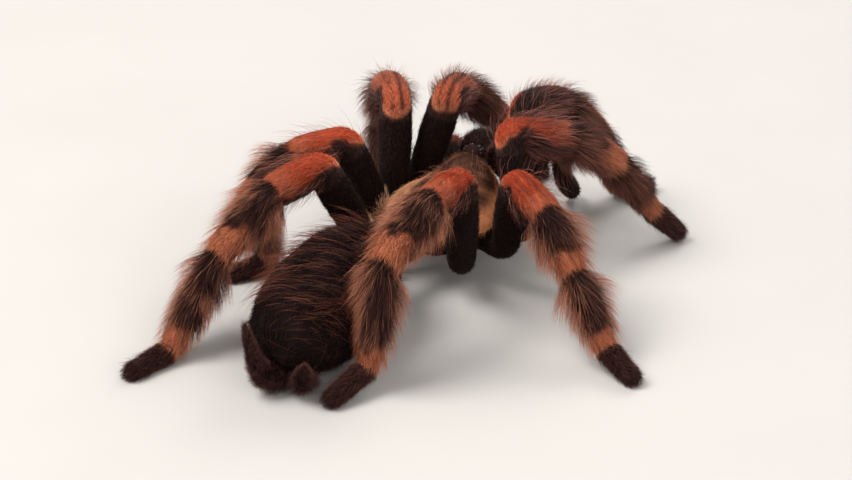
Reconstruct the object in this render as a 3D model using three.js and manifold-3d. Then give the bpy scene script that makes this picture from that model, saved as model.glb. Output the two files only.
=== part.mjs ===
// A tarantula standing still, life size, in millimetres: +Y is forward, +X the spider's right, +Z up.
// Every solid runs out to the tips of its coat of hair; neighbours meet at a narrow seam.
import * as THREE from "three";
import Module from "manifold-3d";

const wasm = await Module();
wasm.setup();

const GAP = 0.3; // seam between two solids that touch
const SIDES = 9; // corners of a leg's cross-section
const RING = 1 / Math.cos(Math.PI / SIDES / 1.5); // a ring's corners lie a little outside the true curve

// The fore body: its middle lies BODY_Z above the floor, pitched nose up and leaning a little to the right.
const BODY_Z = 7.8;
const BODY_PITCH = 6.1;
const BODY_ROLL = -1.7;

// Where the femora leave the body: azimuth from straight ahead and distance from the middle.
const HIPS = [
  { azimuth: 48, reach: 12.6 },
  { azimuth: 76, reach: 12.0 },
  { azimuth: 104, reach: 11.6 },
  { azimuth: 143, reach: 12.2 },
];

// Lengths of the segments after the femur, front pair of legs to hind pair.
const PATELLA = [9.8, 9.2, 8.4, 9.2];
const TIBIA = [12.6, 10.8, 9.6, 13.2];
const METATARSUS = [10.9, 11.2, 12.2, 15.8];
const TARSUS = [7.4, 7.4, 7.6, 8.4];

// The pose: the knee's place, then the azimuth (from ahead, toward the leg's own side) and rise of each
// following segment. Tibia and metatarsus share one azimuth, the tarsus may differ; it reaches the floor.
// A leg that swings from its hip has a hip of its own.
const POSE = {
  L: [
    { knee: [-5.6, 9.4, 24.0], patella: [16, -13], outer: -24, toe: -16, tibia: -43, metatarsus: -76, hip: { azimuth: 51, reach: 12.6 } },
    { knee: [-12.1, 4.5, 24.1], patella: [38, -8], outer: 35, toe: 35, tibia: -53, metatarsus: -69 },
    { knee: [-14.8, -6.5, 20.9], patella: [134, -10], outer: 144, toe: 144, tibia: -36, metatarsus: -107 },
    { knee: [-13.3, -16.7, 21.1], patella: [160, -8], outer: 166, toe: 166, tibia: -28, metatarsus: -50, hip: { azimuth: 140, reach: 14.0 } },
  ],
  R: [
    { knee: [6.4, 12.5, 23.8], patella: [9, -14], outer: 22, toe: 30, tibia: -43, metatarsus: -70 },
    { knee: [8.4, 3.7, 23.3], patella: [40, -14], outer: 43, toe: 45, tibia: -31, metatarsus: -57 },
    { knee: [14.5, -5.7, 20.2], patella: [120, -13], outer: 118, toe: 118, tibia: -42, metatarsus: -47 },
    { knee: [9.6, -14.5, 22.9], patella: [179, 5], outer: 185, toe: 199, tibia: -20, metatarsus: -76 },
  ],
};
const TOE_Z = 1.0; // height of the tarsus's axis at its tip, less than its radius: the sole is a small flat

// Half thickness of each segment: at its start, a third, two thirds, and its end, coat and all.
const GIRTH = {
  femur: [2.3, 2.75, 2.9, 2.65],
  patella: [2.65, 3.05, 3.1, 2.85],
  tibia: [2.85, 3.2, 3.15, 2.5],
  metatarsus: [2.4, 2.8, 2.6, 1.95],
  tarsus: [1.85, 1.9, 1.8, 1.45],
  palp_femur: [1.5, 1.9, 2.0, 1.85],
  palp_patella: [1.85, 2.0, 2.0, 1.85],
  palp_tibia: [1.85, 2.1, 2.0, 1.75],
  palp_tarsus: [1.75, 1.75, 1.65, 1.35],
};
const HIP_GIRTH = 2.3;

// The two palps: hip, then azimuth, rise and length of femur, patella and tibia, and the tarsus's length.
const PALP_HIP = [5.7, 12.0, -1.8];
const PALPS = {
  L: { femur: [34, 13, 10.5], patella: [14, -26, 6.2], tibia: [10, -48, 6.2], tarsus: [8, 7.0] },
  R: { femur: [14, 49, 10.5], patella: [-2, -30, 6.2], tibia: [-4, -75, 6.2], tarsus: [-4, 7.0] },
};

const COLORS = {
  carapace: 0x5a3324,
  velvet: 0x2a1a18,
  orange: 0xb9482a,
  banded: 0x4a2a22,
  foot: 0x241715,
  abdomen: 0x1f1515,
  fang: 0x120d0d,
};

const rad = THREE.MathUtils.degToRad;
const V = (x, y, z) => new THREE.Vector3(x, y, z);
const at = (p) => V(p[0], p[1], p[2]);

// Unit vector with an azimuth from +Y toward the side `s` (+1 right, -1 left) and a rise above level.
function heading(azimuth, rise, s) {
  const c = Math.cos(rad(rise));
  return V(s * Math.sin(rad(azimuth)) * c, Math.cos(rad(azimuth)) * c, Math.sin(rad(rise)));
}

// Value at `t` (0 to 1) of a list of evenly spaced samples, joined by smooth steps.
function sample(list, t) {
  const k = Math.min(list.length - 2, Math.floor(t * (list.length - 1)));
  const f = t * (list.length - 1) - k;
  return THREE.MathUtils.lerp(list[k], list[k + 1], f * f * (3 - 2 * f) * 0.5 + f * 0.5);
}

// Closed solid from rings of points, each ring with the same number of corners, and two end points.
function loft(rings, first, last) {
  const n = rings[0].length;
  const points = [first, ...rings.flat(), last];
  const end = points.length - 1;
  const tris = [];
  for (let i = 0; i < n; i++) {
    const j = (i + 1) % n;
    tris.push(0, 1 + i, 1 + j);
    tris.push(end, end - n + j, end - n + i);
    for (let r = 0; r + 1 < rings.length; r++) {
      const a = 1 + r * n;
      tris.push(a + i, a + n + j, a + j, a + i, a + n + i, a + n + j);
    }
  }
  const made = new wasm.Manifold(
    new wasm.Mesh({
      numProp: 3,
      vertProperties: new Float32Array(points.flatMap((p) => [p.x, p.y, p.z])),
      triVerts: new Uint32Array(tris),
    }),
  );
  if (made.volume() < 0) throw new Error("loft is inside out");
  return made;
}

// A ring of `n` corners round `c`, with half axes a along `side` and b along `up`.
function ring(c, side, up, a, b, n = SIDES) {
  return Array.from({ length: n }, (_, i) => {
    const t = (2 * Math.PI * (i + 0.5)) / n;
    return c.clone().addScaledVector(side, a * Math.cos(t)).addScaledVector(up, b * Math.sin(t));
  });
}

// A limb segment from p to q whose half thickness follows `girth`, with a dome past each end.
function limb(p, q, side, girth, n = SIDES) {
  const axis = q.clone().sub(p);
  const length = axis.length();
  axis.normalize();
  const across = side.clone().addScaledVector(axis, -side.dot(axis)).normalize();
  const up = across.clone().cross(axis);
  const stations = [];
  for (const a of [62, 30]) {
    stations.push([-girth[0] * Math.sin(rad(a)), girth[0] * Math.cos(rad(a))]);
  }
  for (let k = 0; k <= 3; k++) stations.push([(length * k) / 3, sample(girth, k / 3)]);
  for (const a of [30, 62]) {
    stations.push([length + girth[3] * Math.sin(rad(a)), girth[3] * Math.cos(rad(a))]);
  }
  const rings = stations.map(([s, r]) =>
    ring(p.clone().addScaledVector(axis, s), across, up, r * RING, r * RING, n),
  );
  return loft(
    rings,
    p.clone().addScaledVector(axis, -girth[0]),
    q.clone().addScaledVector(axis, girth[3]),
  );
}

// Keeps the part of a solid beyond the plane through p with normal n, half a seam clear of it.
function beyond(solid, p, n) {
  return solid.trimByPlane([n.x, n.y, n.z], p.dot(n) + GAP / 2);
}

const onFloor = (solid) => solid.trimByPlane([0, 0, 1], 0);

// Ellipsoid-like solid along `axis`: half length a, half width b, half height c, blunter where `tail` is
// over 1, with `n` corners round and `m` rings along.
function egg(c, axis, side, a, b, h, tail, n, m) {
  const up = side.clone().cross(axis).normalize();
  const rings = [];
  for (let k = 1; k < m; k++) {
    const u = -Math.cos((Math.PI * k) / m);
    const w = Math.sqrt(1 - u * u) ** (u < 0 ? 1 / tail : 1) * (1 - 0.1 * u * (tail - 1));
    rings.push(ring(c.clone().addScaledVector(axis, a * u), side, up, b * w, h * w, n));
  }
  return loft(rings, c.clone().addScaledVector(axis, -a), c.clone().addScaledVector(axis, a));
}

// Solid swept along a list of {p, w, h} stations in a plane that holds +Z and `forward`.
function horn(stations, side, n) {
  const tangent = stations.map((_, i) => {
    const a = stations[Math.max(0, i - 1)].p;
    const b = stations[Math.min(stations.length - 1, i + 1)].p;
    return b.clone().sub(a).normalize();
  });
  const rings = stations.slice(1, -1).map((s, i) => {
    const t = tangent[i + 1];
    const across = side.clone().addScaledVector(t, -side.dot(t)).normalize();
    return ring(s.p, across, across.clone().cross(t), s.w, s.h, n);
  });
  return loft(rings, stations[0].p, stations[stations.length - 1].p);
}

const solids = [];
function add(name, solid, color) {
  solids.push({ name, solid: solid.simplify(0.004), color });
}

// The fore body's own axes and a helper from its coordinates (right, forward, up) to the part's.
const bodyTurn = new THREE.Matrix4()
  .makeRotationX(rad(BODY_PITCH))
  .multiply(new THREE.Matrix4().makeRotationY(rad(-BODY_ROLL)));
const bodyUp = V(0, 0, 1).applyMatrix4(bodyTurn);
const bodyRight = V(1, 0, 0).applyMatrix4(bodyTurn);
const bodyForward = V(0, 1, 0).applyMatrix4(bodyTurn);
const middle = V(0, 0, BODY_Z);
const onBody = (x, y, z) => V(x, y, z).applyMatrix4(bodyTurn).add(middle);

// ---- walking legs -------------------------------------------------------------------------------
const coxae = [];
for (const [letter, s] of [["L", -1], ["R", 1]]) {
  POSE[letter].forEach((pose, i) => {
    const name = "leg" + (i + 1) + letter + "_";
    const hip = pose.hip ?? HIPS[i];
    const h = onBody(
      s * hip.reach * Math.sin(rad(hip.azimuth)),
      hip.reach * Math.cos(rad(hip.azimuth)),
      0,
    );
    const k = at(pose.knee);
    const a = k.clone().addScaledVector(heading(pose.patella[0], pose.patella[1], s), PATELLA[i]);
    const b = a.clone().addScaledVector(heading(pose.outer, pose.tibia, s), TIBIA[i]);
    const c = b.clone().addScaledVector(heading(pose.outer, pose.metatarsus, s), METATARSUS[i]);
    const drop = Math.asin(Math.min(1, (c.z - TOE_Z) / TARSUS[i]));
    const d = c.clone().addScaledVector(heading(pose.toe, -THREE.MathUtils.radToDeg(drop), s), TARSUS[i]);
    const chain = [h, k, a, b, c, d];
    const dirs = chain.slice(1).map((p, j) => p.clone().sub(chain[j]).normalize());
    const inward = h.clone().sub(middle).normalize();
    const acrossOf = (azimuth) => V(Math.cos(rad(azimuth)), -s * Math.sin(rad(azimuth)), 0);
    const sides = [pose.patella[0], pose.patella[0], pose.outer, pose.outer, pose.toe].map(acrossOf);
    ["femur", "patella", "tibia", "metatarsus", "tarsus"].forEach((part, j) => {
      let solid = limb(chain[j], chain[j + 1], sides[j], GIRTH[part]);
      const before = (j ? dirs[j - 1] : inward).clone().add(dirs[j]).normalize();
      solid = beyond(solid, chain[j], before);
      if (j < 4) {
        const after = dirs[j].clone().add(dirs[j + 1]).normalize().negate();
        solid = beyond(solid, chain[j + 1], after);
      }
      if (j > 2) solid = onFloor(solid);
      add(name + part, solid, [COLORS.velvet, COLORS.orange, COLORS.banded, COLORS.banded, COLORS.foot][j]);
    });
    const root = onBody(0, 0, -0.6).addScaledVector(inward, 3);
    const coxa = limb(root, h, acrossOf(hip.azimuth), [2.2, 2.3, 2.3, HIP_GIRTH], 7);
    coxae.push(beyond(coxa, h, inward.clone().add(dirs[0]).normalize().negate()));
  });

  // ---- palp -------------------------------------------------------------------------------------
  const palp = PALPS[letter];
  const chain = [onBody(s * PALP_HIP[0], PALP_HIP[1], PALP_HIP[2])];
  for (const [azimuth, rise, length] of [palp.femur, palp.patella, palp.tibia]) {
    chain.push(chain[chain.length - 1].clone().addScaledVector(heading(azimuth, rise, s), length));
  }
  const reach = palp.tarsus[1];
  const fall = -THREE.MathUtils.radToDeg(Math.asin(Math.min(1, (chain[3].z - TOE_Z) / reach)));
  chain.push(chain[3].clone().addScaledVector(heading(palp.tarsus[0], fall, s), reach));
  const dirs = chain.slice(1).map((p, j) => p.clone().sub(chain[j]).normalize());
  const root = onBody(s * 2.4, 5.5, -1.4);
  const inward = chain[0].clone().sub(root).normalize();
  const across = V(Math.cos(rad(palp.patella[0])), -s * Math.sin(rad(palp.patella[0])), 0);
  ["femur", "patella", "tibia", "tarsus"].forEach((part, j) => {
    let solid = limb(chain[j], chain[j + 1], across, GIRTH["palp_" + part]);
    solid = beyond(solid, chain[j], (j ? dirs[j - 1] : inward).clone().add(dirs[j]).normalize());
    if (j < 3) {
      solid = beyond(solid, chain[j + 1], dirs[j].clone().add(dirs[j + 1]).normalize().negate());
    }
    if (j > 1) solid = onFloor(solid);
    add("palp" + letter + "_" + part, solid, [COLORS.velvet, COLORS.orange, COLORS.banded, COLORS.foot][j]);
  });
  const maxilla = limb(root, chain[0], across, [1.6, 1.7, 1.7, 1.5], 7);
  coxae.push(beyond(maxilla, chain[0], inward.clone().add(dirs[0]).normalize().negate()));

  // ---- chelicera and fang -------------------------------------------------------------------------
  const jaw = [
    [2.35, 10.9, 4.9, 0, 0],
    [2.35, 11.2, 4.9, 1.9, 2.7],
    [2.45, 13.4, 5.3, 2.25, 3.3],
    [2.45, 15.8, 4.0, 2.25, 3.2],
    [2.4, 17.4, 1.4, 2.1, 2.5],
    [2.35, 17.7, -0.6, 1.4, 1.5],
    [2.35, 17.7, -1.1, 0, 0],
  ].map(([x, y, z, w, h]) => ({ p: onBody(s * x, y, z), w, h }));
  add("chelicera" + letter, horn(jaw, bodyRight, 12), COLORS.carapace);
  const fang = [
    [2.3, 17.5, -1.45, 0, 0],
    [2.3, 17.45, -1.6, 0.75, 0.85],
    [2.25, 16.9, -3.0, 0.65, 0.75],
    [2.15, 15.6, -4.1, 0.5, 0.55],
    [2.05, 14.0, -4.5, 0.3, 0.32],
    [1.95, 13.0, -4.5, 0, 0],
  ].map(([x, y, z, w, h]) => ({ p: onBody(s * x, y, z), w, h }));
  add("fang" + letter, horn(fang, bodyRight, 8), COLORS.fang);
}

// ---- fore body ------------------------------------------------------------------------------------
// Underside: the breast plate joined with the hips' first segments, flat under the carapace.
const breast = egg(onBody(0, -0.4, -0.9), bodyForward, bodyRight, 8.4, 5.6, 2.5, 1, 12, 6);
const shelf = onBody(0, 0, 1.95);
const underside = wasm.Manifold.union([breast, ...coxae]).trimByPlane(
  [-bodyUp.x, -bodyUp.y, -bodyUp.z],
  -shelf.dot(bodyUp),
);
add("underside", underside, COLORS.velvet);

// Carapace: a shield over the hips, its outline a radius for each azimuth, its head raised in front.
const CARAPACE_FLOOR = 2.25;
const OUTLINE = [10.8, 10.3, 9.35, 8.8, 8.9, 9.15, 9.25, 9.4, 9.7, 10.0];
const CARAPACE_SECTORS = 26;
const CARAPACE_RINGS = 7;
function shieldHeight(x, y, rho) {
  const rim = 3.0 + 2.7 * Math.max(0, 1 - rho ** 2.2) ** 0.7;
  const head = 3.9 * Math.exp(-(Math.abs(x / 5.0) ** 3) - ((y - 7.0) / 5.4) ** 2) * Math.min(1, (1 - rho) * 4.2);
  const pit = 0.6 * Math.exp(-((x / 1.6) ** 2) - ((y + 1.5) / 1.4) ** 2);
  return rim + head - pit;
}
const shield = [[], []];
for (let r = 0; r <= CARAPACE_RINGS; r++) {
  const rho = 1 - r / (CARAPACE_RINGS + 0.5);
  const rim = [];
  for (let i = 0; i < CARAPACE_SECTORS; i++) {
    const azimuth = (360 * i) / CARAPACE_SECTORS;
    const folded = azimuth > 180 ? 360 - azimuth : azimuth;
    const reach = sample(OUTLINE, folded / 180) * rho;
    const x = reach * Math.sin(rad(azimuth));
    const y = reach * Math.cos(rad(azimuth));
    rim.push(onBody(x, y, shieldHeight(x, y, rho)));
    if (r === 0) shield[0].push(onBody(x * 0.985, y * 0.985, CARAPACE_FLOOR));
  }
  shield[r + 1] = rim;
}
const carapace = loft(shield, onBody(0, 0, CARAPACE_FLOOR), onBody(0, 0, shieldHeight(0, 0, 0)));
add("carapace", carapace, COLORS.carapace);

// Eye mound, seated over the head with a seam.
const mound = egg(onBody(0, 8.3, 8.0), bodyForward, bodyRight, 1.5, 2.0, 1.5, 1, 12, 6);
const lift = bodyUp.clone().multiplyScalar(GAP);
add("eye_mound", mound.subtract(carapace.translate(lift.x, lift.y, lift.z)), COLORS.carapace);

// ---- hind body ------------------------------------------------------------------------------------
const ABDOMEN = { x: -3.2, y: -30.7, z: 8.5, length: 35.4, width: 18.2, height: 17.6 };
const ABDOMEN_TILT = 3.5; // its front end is a little higher
const ABDOMEN_TURN = -4.0; // its hind end points a little to the right
const abdomenAxis = V(
  Math.sin(rad(ABDOMEN_TURN)) * Math.cos(rad(ABDOMEN_TILT)),
  Math.cos(rad(ABDOMEN_TURN)) * Math.cos(rad(ABDOMEN_TILT)),
  Math.sin(rad(ABDOMEN_TILT)),
);
const abdomenSide = V(Math.cos(rad(ABDOMEN_TURN)), -Math.sin(rad(ABDOMEN_TURN)), 0);
const abdomen = egg(
  V(ABDOMEN.x, ABDOMEN.y, ABDOMEN.z),
  abdomenAxis,
  abdomenSide,
  ABDOMEN.length / 2,
  ABDOMEN.width / 2,
  ABDOMEN.height / 2,
  1.5,
  20,
  13,
);
add("abdomen", onFloor(abdomen), COLORS.abdomen);

// Waist: a short stalk between the two, cut clear of both.
const waist = limb(V(-0.3, -12.8, 7.4), onBody(0, -7.6, -0.4), V(1, 0, 0), [1.7, 1.7, 1.7, 1.7]);
const swollen = (solid, c, k) => {
  return solid.translate(-c.x, -c.y, -c.z).scale(k).translate(c.x, c.y, c.z);
};
const clearAbdomen = swollen(abdomen, V(ABDOMEN.x, ABDOMEN.y, ABDOMEN.z), 1 + GAP / 8.5);
const clearBreast = swollen(underside, onBody(0, -0.4, -0.3), 1 + GAP / 4);
add("waist", waist.subtract(clearAbdomen).subtract(clearBreast), COLORS.velvet);

// Spinnerets: two long fingers from the hind end, curving out and up, the right one held lower.
// Stations of each: outward, forward and up from under the hind end, and half thickness.
const SPINNERETS = {
  L: [
    [1.3, 5.0, 3.2, 0],
    [1.3, 4.2, 2.9, 1.6],
    [1.5, 1.6, 2.3, 1.9],
    [2.1, -0.5, 3.7, 1.6],
    [2.75, -1.6, 6.6, 1.2],
    [3.4, -2.1, 9.9, 0.85],
    [3.7, -2.2, 12.0, 0.45],
    [3.7, -2.15, 12.7, 0],
  ],
  R: [
    [1.9, 6.2, 3.2, 0],
    [1.9, 5.4, 2.9, 1.4],
    [2.4, 3.4, 2.2, 1.65],
    [3.2, 1.8, 2.9, 1.5],
    [4.1, 0.6, 4.3, 1.2],
    [4.8, -0.2, 5.9, 0.85],
    [5.1, -0.5, 6.9, 0.45],
    [5.15, -0.5, 7.2, 0],
  ],
};
for (const [letter, s] of [["L", -1], ["R", 1]]) {
  const rear = V(ABDOMEN.x, ABDOMEN.y, 0).addScaledVector(abdomenAxis, -ABDOMEN.length / 2).setZ(0);
  const finger = SPINNERETS[letter].map(([x, y, z, w]) => ({ p: rear.clone().add(V(s * x, y, z)), w, h: w }));
  add("spinneret" + letter, horn(finger, abdomenSide, 8).subtract(clearAbdomen), COLORS.abdomen);
}

// ---- meshes, with the middle of the whole box's foot at the origin ----------------------------------
const group = new THREE.Group();
group.name = "tarantula";
const box = new THREE.Box3();
for (const { solid } of solids) {
  const b = solid.boundingBox();
  box.expandByPoint(at(b.min)).expandByPoint(at(b.max));
}
const origin = V((box.min.x + box.max.x) / 2, (box.min.y + box.max.y) / 2, box.min.z);
for (const { name, solid, color } of solids) {
  const mesh = solid.getMesh();
  const geometry = new THREE.BufferGeometry();
  geometry.setAttribute("position", new THREE.BufferAttribute(new Float32Array(mesh.vertProperties), 3));
  geometry.setIndex(new THREE.BufferAttribute(new Uint32Array(mesh.triVerts), 1));
  geometry.translate(-origin.x, -origin.y, -origin.z);
  geometry.computeVertexNormals();
  const made = new THREE.Mesh(geometry, new THREE.MeshStandardMaterial({ color, roughness: 0.8 }));
  made.name = name;
  group.add(made);
}

export default group;
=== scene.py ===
"""A red-kneed tarantula standing still, life size: skin, coat, shield, eyes, fangs and claws.

Lengths are in millimetres and turn into metres when a mesh is made. The fore body's middle is the centre of
the pose: +X is the spider's right, +Y the way it faces, +Z up.
"""

import math

import bpy
import numpy as np
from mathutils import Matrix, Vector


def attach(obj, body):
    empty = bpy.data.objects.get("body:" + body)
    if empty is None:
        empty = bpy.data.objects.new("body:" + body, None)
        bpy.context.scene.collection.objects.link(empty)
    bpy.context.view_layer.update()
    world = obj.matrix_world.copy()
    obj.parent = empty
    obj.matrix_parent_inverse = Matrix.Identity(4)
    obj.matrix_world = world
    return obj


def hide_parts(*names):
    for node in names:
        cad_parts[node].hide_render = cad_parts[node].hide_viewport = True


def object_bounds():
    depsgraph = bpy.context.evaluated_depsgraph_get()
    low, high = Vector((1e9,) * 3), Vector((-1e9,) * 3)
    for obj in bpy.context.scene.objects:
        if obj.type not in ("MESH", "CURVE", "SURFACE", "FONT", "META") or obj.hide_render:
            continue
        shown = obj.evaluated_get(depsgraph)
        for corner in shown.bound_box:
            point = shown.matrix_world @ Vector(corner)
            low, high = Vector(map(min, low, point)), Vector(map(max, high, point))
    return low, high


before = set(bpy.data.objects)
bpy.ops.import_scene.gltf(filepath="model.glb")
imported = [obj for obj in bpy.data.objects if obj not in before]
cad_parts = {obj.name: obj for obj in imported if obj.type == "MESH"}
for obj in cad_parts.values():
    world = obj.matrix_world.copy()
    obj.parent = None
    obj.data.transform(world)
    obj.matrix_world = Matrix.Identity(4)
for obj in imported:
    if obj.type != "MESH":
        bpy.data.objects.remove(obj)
cad_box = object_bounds()

MM = 0.001
TAU = 2 * math.pi
GOLDEN = 0.61803399

# ---- the pose, with the source's named values --------------------------------------------------------
ORIGIN = np.array([7.018, -7.191, 0.0])  # the model's origin, seen from under the fore body's middle
BODY_Z, BODY_PITCH, BODY_ROLL = 7.8, 6.1, -1.7
HIPS = [(48, 12.6), (76, 12.0), (104, 11.6), (143, 12.2)]  # azimuth and reach, front to rear
SWUNG_HIPS = {(-1, 0): (51, 12.6), (-1, 3): (140, 14.0)}  # legs swung from their hips, by side and place
# Lengths of the segments, front legs to rear.
PATELLA = [9.8, 9.2, 8.4, 9.2]
TIBIA = [12.6, 10.8, 9.6, 13.2]
METATARSUS = [10.9, 11.2, 12.2, 15.8]
TARSUS = [7.4, 7.4, 7.6, 8.4]
TOE_Z = 1.0  # height of a toe's middle
# By side, -1 left: knee, patella's azimuth and rise, azimuth of tibia and metatarsus, azimuth of the tarsus,
# rise of the tibia, rise of the metatarsus.
POSE = {
    -1: [
        ((-5.6, 9.4, 24.0), (16, -13), -24, -16, -43, -76),
        ((-12.1, 4.5, 24.1), (38, -8), 35, 35, -53, -69),
        ((-14.8, -6.5, 20.9), (134, -10), 144, 144, -36, -107),
        ((-13.3, -16.7, 21.1), (160, -8), 166, 166, -28, -50),
    ],
    1: [
        ((6.4, 12.5, 23.8), (9, -14), 22, 30, -43, -70),
        ((8.4, 3.7, 23.3), (40, -14), 43, 45, -31, -57),
        ((14.5, -5.7, 20.2), (120, -13), 118, 118, -42, -47),
        ((9.6, -14.5, 22.9), (179, 5), 185, 199, -20, -76),
    ],
}
LEG_ROOT = (0, 0, -0.6)  # inside the body, where every leg's line starts
PALP_ROOT, PALP_HIP = (2.4, 5.5, -1.4), (5.7, 12.0, -1.8)  # the right palp's
# Azimuth, rise and length of each segment. A rise of None takes the tip down to the toes' level.
PALPS = {
    -1: [(34, 13, 10.5), (14, -26, 6.2), (10, -48, 6.2), (8, None, 7.0)],
    1: [(14, 49, 10.5), (-2, -30, 6.2), (-4, -75, 6.2), (-4, None, 7.0)],
}
ABDOMEN = {"x": -3.2, "y": -30.7, "z": 8.5, "length": 35.4, "width": 18.2, "height": 17.6, "tail": 1.5}
ABDOMEN_TILT, ABDOMEN_TURN = 3.5, -4.0

# Depth of the coat: how far the skin lies inside the solids.
FEMUR_COAT, PATELLA_COAT, TIBIA_COAT, METATARSUS_COAT, TARSUS_COAT = 0.36, 0.40, 0.85, 0.75, 0.45
ABDOMEN_COAT, SHIELD_COAT = 0.75, 0.3
CEILING = cad_box[1][2] / MM + 0.5  # hairs that would rise past it are shorter
GROUND, SKIN_GROUND, CLAW_GROUND = 0.03, 0.06, 0.02  # no hair, skin or claw reaches lower


def unit(v):
    """Each vector divided by its own length."""
    return v / np.maximum(np.linalg.norm(v, axis=-1, keepdims=True), 1e-12)


def heading(azimuth, rise, side):
    """Unit vector with an azimuth from ahead toward its own side and a rise above level, in degrees."""
    a, e = math.radians(azimuth), math.radians(rise)
    return np.array([side * math.sin(a) * math.cos(e), math.cos(a) * math.cos(e), math.sin(e)])


def body_turn():
    """Turn about X by the pitch, times a turn about Y by minus the roll."""
    p, r = math.radians(BODY_PITCH), math.radians(-BODY_ROLL)
    pitch = np.array([[1, 0, 0], [0, math.cos(p), -math.sin(p)], [0, math.sin(p), math.cos(p)]])
    roll = np.array([[math.cos(r), 0, math.sin(r)], [0, 1, 0], [-math.sin(r), 0, math.cos(r)]])
    return pitch @ roll


TURN = body_turn()
MIDDLE = np.array([0.0, 0.0, BODY_Z])


def on_body(p):
    """Fore-body coordinates (right, forward, up) turned into the pose's."""
    return np.asarray(p, float) @ TURN.T + MIDDLE


def smooth(x):
    """Smooth step from 0 to 1."""
    x = np.clip(x, 0, 1)
    return x * x * (3 - 2 * x)


def ripple(p, scale, seed):
    """Soft pattern between about -1 and 1: a sum of five sine waves over p, directions set by the seed."""
    rng = np.random.default_rng(seed)
    waves = rng.normal(size=(5, 3)) / scale
    phase = rng.uniform(0, TAU, 5)
    return np.sin(p @ waves.T + phase).sum(-1) / 2.4


# ---- forms -------------------------------------------------------------------------------------------
class Tube:
    """A rounded form along a centre line c(q): p = c + across w sin(a) + up h cos(a), a = 0 on the back.

    q counts segments: 2.5 is halfway along the third. `slope` is how fast it thickens along the line. The
    last seven values place a leg's markings, as `leg_marks` and `hair_marks` use them.
    """

    def __init__(self, centre, across, wide, high, q):
        self.c = centre
        step = np.gradient(centre, axis=0)
        self.ds = np.linalg.norm(step, axis=1)
        self.t = unit(step)
        self.a = unit(across - self.t * (across * self.t).sum(1, keepdims=True))
        self.u = np.cross(self.a, self.t)
        self.w, self.h, self.q = wide, high, q
        self.slope = np.clip(np.gradient((wide + high) / 2) / np.maximum(self.ds, 1e-6), -3, 3)
        self.roll = 0.0  # turn of the knee's orange
        self.slant = 0.2  # how much later it starts on the flanks
        self.narrow = 0.0  # how much less far it comes down the flanks
        self.blush = 0.0  # how pale it is all over
        self.groove = (2.02, 0.45, 0.09)  # its bare lines: where they start, depth and width
        self.shade = 0.0  # turn of the dark stripe in the long hair, toward the leg's shaded side: painted shade
        self.band = 3.55  # where the tibia's band starts

    def at(self, q, angle):
        """Point, outward normal and direction of lie at (q, angle)."""
        i = np.interp(q, self.q, np.arange(len(self.q)))
        k = np.minimum(i.astype(int), len(self.q) - 2)
        f = (i - k)[:, None]

        def mid(v):
            v = v if v.ndim == 2 else v[:, None]
            return v[k] * (1 - f) + v[k + 1] * f

        out_w, out_h = np.sin(angle)[:, None], np.cos(angle)[:, None]
        across, up, along = unit(mid(self.a)), unit(mid(self.u)), unit(mid(self.t))
        w, h, slope = mid(self.w), mid(self.h), mid(self.slope)
        radial = unit(across * out_w * h + up * out_h * w)
        point = mid(self.c) + across * out_w * w + up * out_h * h
        return point, unit(radial - along * slope), unit(along + radial * slope)

    def scatter(self, per_mm2, q0, q1, rng, keep=None):
        """Even spots between q0 and q1, by the form's own area along and the golden ratio around."""
        inside = (self.q >= q0) & (self.q <= q1)
        area = np.where(inside, self.ds * TAU * (self.w + self.h) / 2, 0)
        total = np.cumsum(area)
        n = int(total[-1] * per_mm2)
        i = np.arange(n)
        q = np.interp((i + rng.uniform(0, 1, n)) / n * total[-1], total, self.q)
        angle = TAU * np.mod(i * GOLDEN + rng.normal(0, 0.02, n), 1)
        angle = np.where(angle > math.pi, angle - TAU, angle)
        if keep is not None:
            chosen = rng.uniform(0, 1, n) < keep(q, angle)
            q, angle = q[chosen], angle[chosen]
        return q, angle

    def grid(self, around):
        """Points of the closed surface, ring by ring, with a pole at each end, and its triangles."""
        n = len(self.q)
        angle = np.arange(around) / around * TAU
        q = np.repeat(np.arange(n), around)
        a = np.tile(angle, n)
        ring = (
            self.c[q]
            + self.a[q] * (self.w[q] * np.sin(a))[:, None]
            + self.u[q] * (self.h[q] * np.cos(a))[:, None]
        )
        points = np.vstack([self.c[:1], ring, self.c[-1:]])
        return points, ring_faces(n, around), np.r_[self.q[0], self.q[q], self.q[-1]], np.r_[0, a, 0]


def ring_faces(rings, around):
    """Triangles of a closed skin over rings of points that follow a first pole and precede a last one."""
    i = np.arange(around)
    j = (i + 1) % around
    first = np.stack([np.zeros(around, int), 1 + j, 1 + i], 1)
    base = 1 + around * np.arange(rings - 1)[:, None]
    a, b, c, d = base + i, base + j, base + around + j, base + around + i
    sides = np.concatenate([np.stack([a, b, c], -1), np.stack([a, c, d], -1)], 1).reshape(-1, 3)
    end = 1 + rings * around
    last = np.stack([np.full(around, end), end - around + i, end - around + j], 1)
    return np.concatenate([first, sides, last])


def smoothed(values, half):
    """Moving average along the first axis over 2 half + 1 samples, the ends held."""
    if half < 1:
        return values
    pad = [(half, half)] + [(0, 0)] * (values.ndim - 1)
    total = np.cumsum(np.pad(np.pad(values, pad, mode="edge"), [(1, 0)] + pad[1:]), axis=0)
    return (total[2 * half + 1 :] - total[: -2 * half - 1]) / (2 * half + 1)


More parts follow.
